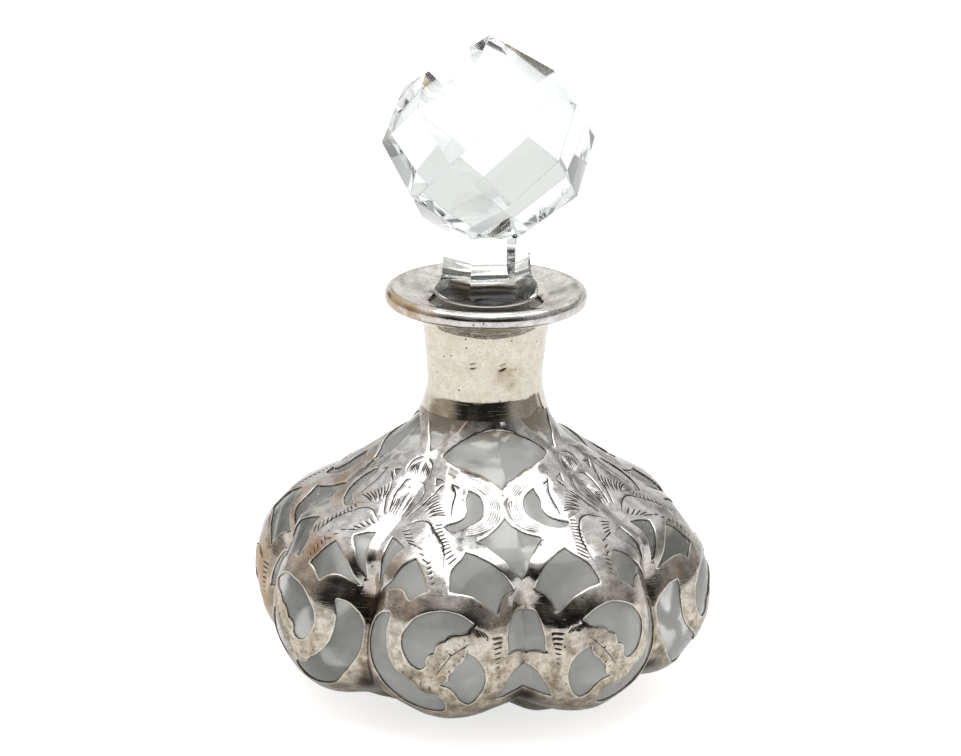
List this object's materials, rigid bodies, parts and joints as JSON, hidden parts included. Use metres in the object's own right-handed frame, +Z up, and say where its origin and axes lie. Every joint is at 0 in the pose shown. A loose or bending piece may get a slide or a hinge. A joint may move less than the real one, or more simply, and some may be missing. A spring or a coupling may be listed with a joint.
{
  "type": "scent bottle",
  "caption": "Lobed glass scent bottle with a wide flat lip, pierced and engraved silver scrollwork over the glass, and a faceted ball stopper on a ground peg.",
  "frame": {"origin": "centre of the base, on the surface that the bottle stands on", "axes": "+Z up the bottle's axis; -Y through the crease under one flower of the pattern, and +X a quarter turn anticlockwise from it seen from above"},
  "size_m": [0.079, 0.079, 0.1194],
  "materials": {
    "glass": "clear blown glass, faintly grey, polished",
    "cut_glass": "clear cut and polished crystal, ground peg",
    "silver": "engraved silver, worn bright on the high places and tarnished brown in the low ones"
  },
  "bodies": {
    "bottle": {"glass_bottle": "glass", "silver_fretwork": "silver", "silver_collar": "silver", "silver_rim": "silver"},
    "stopper": {"stopper": "cut_glass"}
  },
  "joints": [
    {"name": "stopper_lift", "type": "slide", "parent": "bottle", "child": "stopper", "axis": [0, 0, 1], "range_m": [0, 0.03]}
  ]
}
